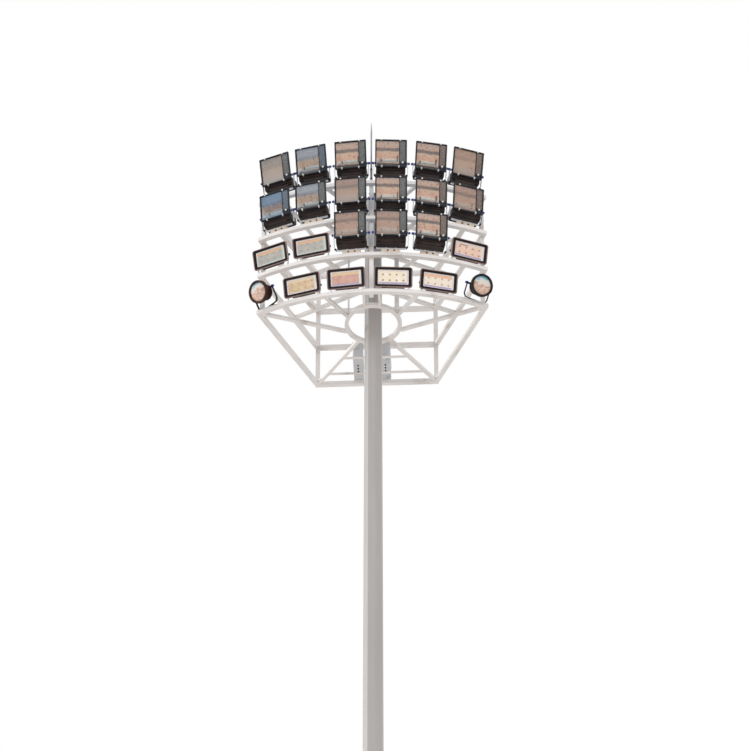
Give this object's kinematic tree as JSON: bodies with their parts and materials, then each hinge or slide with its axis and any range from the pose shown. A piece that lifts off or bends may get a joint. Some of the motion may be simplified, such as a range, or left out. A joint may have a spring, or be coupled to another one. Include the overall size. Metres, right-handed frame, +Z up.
{
  "type": "high-mast floodlight tower",
  "caption": "Tall octagonal steel mast with a fan-shaped four-tier head carrying square, rectangular and round floodlights that tilt in stirrups.",
  "frame": {"origin": "on the mast's axis, at the underside of the base flange", "axes": "+Z up along the mast, -Y to the side that the floodlights face, +X to the right seen from behind the floodlights' glass, that is to the viewer's right in front of the tower"},
  "size_m": [3.9374, 2.48, 21.114],
  "materials": {
    "mast_paint": "satin",
    "frame_paint": "satin",
    "gear_box_paint": "satin",
    "galvanised_steel": "satin",
    "lamp_housing": "satin",
    "lamp_frame": "satin",
    "lamp_glass": "gloss",
    "frosted_glass": "satin",
    "reflector_sheet": "gloss",
    "lamp_tube": "gloss",
    "lamp_socket": "matte",
    "led_board": "matte",
    "seal_rubber": "matte",
    "fastener_steel": "satin"
  },
  "bodies": {
    "tower": {"base_flange": "mast_paint", "base_gussets": "mast_paint", "mast_lower_section": "mast_paint", "mast_upper_section": "mast_paint", "mast_cap": "mast_paint", "service_door": "mast_paint", "front_beams": "frame_paint", "side_bars": "frame_paint", "rear_bars": "frame_paint", "mast_spokes": "frame_paint", "brace_bars": "frame_paint", "bottom_ring": "frame_paint", "ring_spokes": "frame_paint", "front_spokes": "frame_paint", "gear_bars": "frame_paint", "gear_boxes": "gear_box_paint", "corner_posts": "frame_paint", "inner_posts": "frame_paint", "lightning_rod": "galvanised_steel", "tier_1_stirrups": "galvanised_steel", "tier_2_stirrups": "galvanised_steel", "tier_3_stirrups": "galvanised_steel", "tier_4_stirrups": "galvanised_steel", "cable_gooseneck": "lamp_housing"},
    "tier_1_floodlight_1": {"tier_1_floodlight_1": "lamp_housing"},
    "tier_1_floodlight_2": {"tier_1_floodlight_2": "lamp_housing"},
    "tier_1_floodlight_3": {"tier_1_floodlight_3": "lamp_housing"},
    "tier_1_floodlight_4": {"tier_1_floodlight_4": "lamp_housing"},
    "tier_1_floodlight_5": {"tier_1_floodlight_5": "lamp_housing"},
    "tier_1_floodlight_6": {"tier_1_floodlight_6": "lamp_housing"},
    "tier_2_floodlight_1": {"tier_2_floodlight_1": "lamp_housing"},
    "tier_2_floodlight_2": {"tier_2_floodlight_2": "lamp_housing"},
    "tier_2_floodlight_3": {"tier_2_floodlight_3": "lamp_housing"},
    "tier_2_floodlight_4": {"tier_2_floodlight_4": "lamp_housing"},
    "tier_2_floodlight_5": {"tier_2_floodlight_5": "lamp_housing"},
    "tier_2_floodlight_6": {"tier_2_floodlight_6": "lamp_housing"},
    "tier_3_floodlight_1": {"tier_3_floodlight_1": "lamp_housing"},
    "tier_3_floodlight_2": {"tier_3_floodlight_2": "lamp_housing"},
    "tier_3_floodlight_3": {"tier_3_floodlight_3": "lamp_housing"},
    "tier_3_led_floodlight_1": {"tier_3_led_floodlight_1": "lamp_housing"},
    "tier_3_led_floodlight_2": {"tier_3_led_floodlight_2": "lamp_housing"},
    "tier_3_led_floodlight_3": {"tier_3_led_floodlight_3": "lamp_housing"},
    "tier_4_led_floodlight_1": {"tier_4_led_floodlight_1": "lamp_housing"},
    "tier_4_led_floodlight_2": {"tier_4_led_floodlight_2": "lamp_housing"},
    "tier_4_led_floodlight_3": {"tier_4_led_floodlight_3": "lamp_housing"},
    "tier_4_led_floodlight_4": {"tier_4_led_floodlight_4": "lamp_housing"},
    "tier_4_spotlight_1": {"tier_4_spotlight_1": "lamp_housing"},
    "tier_4_spotlight_2": {"tier_4_spotlight_2": "lamp_housing"}
  },
  "joints": [
    {"name": "tier_1_floodlight_1_tilt", "type": "hinge", "parent": "tower", "child": "tier_1_floodlight_1", "pos_m": [-1.54067, -0.54828, 20.065], "axis": [0.9317, -0.3633, 0], "range_deg": [-15, 35]},
    {"name": "tier_1_floodlight_2_tilt", "type": "hinge", "parent": "tower", "child": "tier_1_floodlight_2", "pos_m": [-0.9577, -0.72846, 20.065], "axis": [0.9742, -0.2258, 0], "range_deg": [-15, 35]},
    {"name": "tier_1_floodlight_3_tilt", "type": "hinge", "parent": "tower", "child": "tier_1_floodlight_3", "pos_m": [-0.32318, -0.82567, 20.065], "axis": [0.9971, -0.0762, 0], "range_deg": [-15, 35]},
    {"name": "tier_1_floodlight_4_tilt", "type": "hinge", "parent": "tower", "child": "tier_1_floodlight_4", "pos_m": [0.32318, -0.82567, 20.065], "axis": [0.9971, 0.0762, 0], "range_deg": [-15, 35]},
    {"name": "tier_1_floodlight_5_tilt", "type": "hinge", "parent": "tower", "child": "tier_1_floodlight_5", "pos_m": [0.9577, -0.72846, 20.065], "axis": [0.9742, 0.2258, 0], "range_deg": [-15, 35]},
    {"name": "tier_1_floodlight_6_tilt", "type": "hinge", "parent": "tower", "child": "tier_1_floodlight_6", "pos_m": [1.54067, -0.54828, 20.065], "axis": [0.9317, 0.3633, 0], "range_deg": [-15, 35]},
    {"name": "tier_2_floodlight_1_tilt", "type": "hinge", "parent": "tower", "child": "tier_2_floodlight_1", "pos_m": [-1.54212, -0.55201, 19.235], "axis": [0.9317, -0.3633, 0], "range_deg": [-15, 35]},
    {"name": "tier_2_floodlight_2_tilt", "type": "hinge", "parent": "tower", "child": "tier_2_floodlight_2", "pos_m": [-0.9586, -0.73236, 19.235], "axis": [0.9742, -0.2258, 0], "range_deg": [-15, 35]},
    {"name": "tier_2_floodlight_3_tilt", "type": "hinge", "parent": "tower", "child": "tier_2_floodlight_3", "pos_m": [-0.32348, -0.82966, 19.235], "axis": [0.9971, -0.0762, 0], "range_deg": [-15, 35]},
    {"name": "tier_2_floodlight_4_tilt", "type": "hinge", "parent": "tower", "child": "tier_2_floodlight_4", "pos_m": [0.32348, -0.82966, 19.235], "axis": [0.9971, 0.0762, 0], "range_deg": [-15, 35]},
    {"name": "tier_2_floodlight_5_tilt", "type": "hinge", "parent": "tower", "child": "tier_2_floodlight_5", "pos_m": [0.9586, -0.73236, 19.235], "axis": [0.9742, 0.2258, 0], "range_deg": [-15, 35]},
    {"name": "tier_2_floodlight_6_tilt", "type": "hinge", "parent": "tower", "child": "tier_2_floodlight_6", "pos_m": [1.54212, -0.55201, 19.235], "axis": [0.9317, 0.3633, 0], "range_deg": [-15, 35]},
    {"name": "tier_3_floodlight_1_tilt", "type": "hinge", "parent": "tower", "child": "tier_3_floodlight_1", "pos_m": [-0.32561, -0.85758, 18.437], "axis": [0.9971, -0.0762, 0], "range_deg": [-15, 35]},
    {"name": "tier_3_floodlight_2_tilt", "type": "hinge", "parent": "tower", "child": "tier_3_floodlight_2", "pos_m": [0.32561, -0.85758, 18.437], "axis": [0.9971, 0.0762, 0], "range_deg": [-15, 35]},
    {"name": "tier_3_floodlight_3_tilt", "type": "hinge", "parent": "tower", "child": "tier_3_floodlight_3", "pos_m": [0.96129, -0.76047, 18.437], "axis": [0.9744, 0.225, 0], "range_deg": [-15, 35]},
    {"name": "tier_3_led_floodlight_1_tilt", "type": "hinge", "parent": "tower", "child": "tier_3_led_floodlight_1", "pos_m": [-1.6028, -0.42827, 18.336], "axis": [0.9225, -0.3859, 0], "range_deg": [-35, 4]},
    {"name": "tier_3_led_floodlight_2_tilt", "type": "hinge", "parent": "tower", "child": "tier_3_led_floodlight_2", "pos_m": [-0.94842, -0.64026, 18.328], "axis": [0.9736, -0.2284, 0], "range_deg": [-35, 4]},
    {"name": "tier_3_led_floodlight_3_tilt", "type": "hinge", "parent": "tower", "child": "tier_3_led_floodlight_3", "pos_m": [1.54241, -0.45298, 18.29], "axis": [0.9285, 0.3714, 0], "range_deg": [-35, 4]},
    {"name": "tier_4_led_floodlight_1_tilt", "type": "hinge", "parent": "tower", "child": "tier_4_led_floodlight_1", "pos_m": [-1.08896, -0.6047, 17.487], "axis": [0.965, -0.2622, 0], "range_deg": [-35, 4]},
    {"name": "tier_4_led_floodlight_2_tilt", "type": "hinge", "parent": "tower", "child": "tier_4_led_floodlight_2", "pos_m": [-0.39086, -0.73157, 17.482], "axis": [0.9956, -0.0941, 0], "range_deg": [-35, 4]},
    {"name": "tier_4_led_floodlight_3_tilt", "type": "hinge", "parent": "tower", "child": "tier_4_led_floodlight_3", "pos_m": [0.34754, -0.73543, 17.47], "axis": [0.9965, 0.0837, 0], "range_deg": [-35, 4]},
    {"name": "tier_4_led_floodlight_4_tilt", "type": "hinge", "parent": "tower", "child": "tier_4_led_floodlight_4", "pos_m": [1.05394, -0.61405, 17.47], "axis": [0.9673, 0.2538, 0], "range_deg": [-35, 4]},
    {"name": "tier_4_spotlight_1_tilt", "type": "hinge", "parent": "tower", "child": "tier_4_spotlight_1", "pos_m": [-1.74571, -0.52045, 17.515], "axis": [0.7278, -0.6858, 0], "range_deg": [-20, 20]},
    {"name": "tier_4_spotlight_2_tilt", "type": "hinge", "parent": "tower", "child": "tier_4_spotlight_2", "pos_m": [1.71388, -0.54245, 17.475], "axis": [0.8554, 0.518, 0], "range_deg": [-20, 20]}
  ]
}
